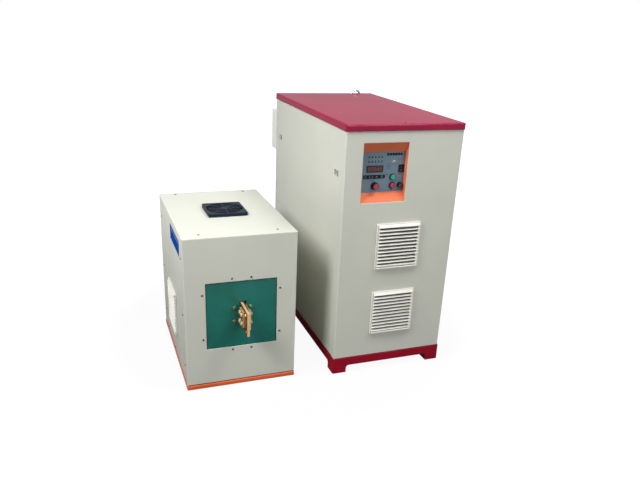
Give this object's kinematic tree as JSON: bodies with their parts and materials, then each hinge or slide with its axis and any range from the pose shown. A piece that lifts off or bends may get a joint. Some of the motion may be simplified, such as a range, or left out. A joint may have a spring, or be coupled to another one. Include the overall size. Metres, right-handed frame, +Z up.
{
  "type": "induction heating machine",
  "caption": "Induction heater: power cabinet with recessed controls and louvred fan covers, beside a separate heating head with copper output plates.",
  "frame": {"origin": "middle of the ground that the cabinet and the head cover, under the middle of the bounding box", "axes": "+Z up, the fronts of both units face -Y, and +X runs from the head to the cabinet"},
  "size_m": [0.888, 0.8616, 0.842],
  "materials": {
    "cream_paint": "cream enamel, satin",
    "crimson_paint": "crimson enamel, gloss",
    "maroon_paint": "dark red enamel, satin",
    "orange_paint": "orange enamel, satin",
    "grey_paint": "blue-grey enamel, matt",
    "zinc_steel": "zinc-plated sheet",
    "plated_steel": "bright nickel or zinc plate",
    "screw_steel": "bright zinc plate",
    "black_plastic": "moulded, fine grain",
    "red_plastic": "moulded, glossy",
    "green_plastic": "moulded, glossy",
    "lens_plastic": "smoked red lens",
    "ivory_plastic": "moulded, satin",
    "filter_mat": "open fibre mat",
    "circuit_board": "solder-masked laminate",
    "green_laminate": "glass-epoxy laminate",
    "brown_laminate": "phenolic laminate",
    "copper": "copper bar, lightly tarnished",
    "brass": "turned brass",
    "aluminium": "machined plate",
    "can_sleeve": "shrink sleeve on a can",
    "core_steel": "laminated core, varnished"
  },
  "bodies": {
    "machine": {"plinth": "maroon_paint", "floor_pan": "zinc_steel", "inner_frames": "zinc_steel", "front_panel": "cream_paint", "rear_panel": "cream_paint", "left_side_panel": "cream_paint", "right_side_panel": "cream_paint", "lid": "crimson_paint", "control_bay": "orange_paint", "control_panel": "grey_paint", "switch_bezels": "black_plastic", "toggle_bush": "plated_steel", "display_window": "lens_plastic", "indicator_leds": "red_plastic", "membrane_keypad": "black_plastic", "control_socket": "plated_steel", "control_board": "circuit_board", "louvre_covers": "ivory_plastic", "filter_mats": "filter_mat", "fan_frames": "black_plastic", "latch_cups": "ivory_plastic", "terminal_box": "cream_paint", "cable_glands": "black_plastic", "water_fittings": "brass", "lifting_eye": "plated_steel", "mounting_plate": "zinc_steel", "circuit_breaker": "black_plastic", "heat_sink": "aluminium", "power_modules": "black_plastic", "filter_capacitors": "can_sleeve", "busbars": "copper", "choke": "core_steel", "head_base": "orange_paint", "head_front_panel": "cream_paint", "head_left_panel": "cream_paint", "head_right_panel": "cream_paint", "head_rear_panel": "cream_paint", "head_top_cover": "cream_paint", "insulating_board": "green_laminate", "plate_insulator": "brown_laminate", "output_plates": "copper", "terminal_bolts": "brass", "casing_screws": "screw_steel", "head_fan_guard": "black_plastic", "transformer_core": "core_steel", "resonant_capacitors": "ivory_plastic"},
    "power_knob": {"power_knob": "black_plastic", "knob_cap": "red_plastic"},
    "start_button": {"start_button": "green_plastic"},
    "stop_button": {"stop_button": "red_plastic"},
    "rocker": {"rocker": "black_plastic"},
    "toggle_lever": {"toggle_lever": "plated_steel"},
    "upper_fan_rotor": {"upper_fan_rotor": "black_plastic"},
    "lower_fan_rotor": {"lower_fan_rotor": "black_plastic"},
    "head_fan_rotor": {"head_fan_rotor": "black_plastic"},
    "left_front_latch": {"left_front_latch": "black_plastic"},
    "left_rear_latch": {"left_rear_latch": "black_plastic"},
    "right_front_latch": {"right_front_latch": "black_plastic"},
    "right_rear_latch": {"right_rear_latch": "black_plastic"},
    "breaker_lever": {"breaker_lever": "ivory_plastic"}
  },
  "joints": [
    {"name": "power_knob_turn", "type": "hinge", "parent": "machine", "child": "power_knob", "pos_m": [0.1576, -0.35225, 0.63697], "axis": [0, 1, 0], "range_deg": [0, 270]},
    {"name": "start_button_press", "type": "slide", "parent": "machine", "child": "start_button", "axis": [0, 1, 0], "range_m": [0, 0.003], "stiffness_N_per_m": 600},
    {"name": "stop_button_press", "type": "slide", "parent": "machine", "child": "stop_button", "axis": [0, 1, 0], "range_m": [0, 0.003], "stiffness_N_per_m": 600},
    {"name": "rocker_tip", "type": "hinge", "parent": "machine", "child": "rocker", "pos_m": [0.24368, -0.35075, 0.68897], "axis": [-1, 0, 0], "range_deg": [0, 16]},
    {"name": "toggle_flip", "type": "hinge", "parent": "machine", "child": "toggle_lever", "pos_m": [0.21695, -0.35225, 0.71097], "axis": [1, 0, 0], "range_deg": [0, 24]},
    {"name": "upper_fan_spin", "type": "hinge", "parent": "machine", "child": "upper_fan_rotor", "pos_m": [0.244, -0.34325, 0.443], "axis": [0, 1, 0], "continuous": true},
    {"name": "lower_fan_spin", "type": "hinge", "parent": "machine", "child": "lower_fan_rotor", "pos_m": [0.244, -0.34325, 0.211], "axis": [0, 1, 0], "continuous": true},
    {"name": "head_fan_spin", "type": "hinge", "parent": "machine", "child": "head_fan_rotor", "pos_m": [-0.255, -0.09225, 0.475], "axis": [0, 0, 1], "continuous": true},
    {"name": "breaker_throw", "type": "hinge", "parent": "machine", "child": "breaker_lever", "pos_m": [0.306, 0.11625, 0.6225], "axis": [0, 1, 0], "range_deg": [0, 32]},
    {"name": "left_front_latch_slide", "type": "slide", "parent": "machine", "child": "left_front_latch", "axis": [0, 1, 0], "range_m": [0, 0.008], "stiffness_N_per_m": 300},
    {"name": "left_rear_latch_slide", "type": "slide", "parent": "machine", "child": "left_rear_latch", "axis": [0, -1, 0], "range_m": [0, 0.008], "stiffness_N_per_m": 300},
    {"name": "right_front_latch_slide", "type": "slide", "parent": "machine", "child": "right_front_latch", "axis": [0, 1, 0], "range_m": [0, 0.008], "stiffness_N_per_m": 300},
    {"name": "right_rear_latch_slide", "type": "slide", "parent": "machine", "child": "right_rear_latch", "axis": [0, -1, 0], "range_m": [0, 0.008], "stiffness_N_per_m": 300}
  ]
}
